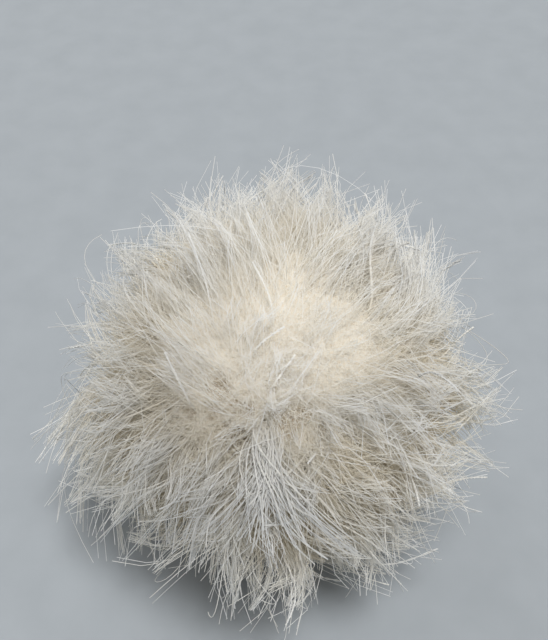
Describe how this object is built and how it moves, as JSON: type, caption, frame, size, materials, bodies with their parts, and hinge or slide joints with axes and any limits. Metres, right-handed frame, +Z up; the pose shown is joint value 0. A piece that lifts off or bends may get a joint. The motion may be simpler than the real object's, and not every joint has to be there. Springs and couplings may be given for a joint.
{
  "type": "faux fur pom pom",
  "caption": "Fluffy off-white ball of cut, brushed-out yarn pile, gathered in tufts, resting on a small flat patch of crushed pile.",
  "frame": {"origin": "on the surface the ball rests on, under the middle of its overall box", "axes": "+Z up, +X to the right and -Y to the front as the ball is seen; the forelock of longer pile falls down the front"},
  "size_m": [0.138, 0.136, 0.122],
  "materials": {
    "pile_fibre": "soft matt off-white acrylic fibre, brushed out, cream deep in the pile and cooler white at the cut ends"
  },
  "bodies": {
    "root": {"pile": "pile_fibre"}
  },
  "joints": []
}
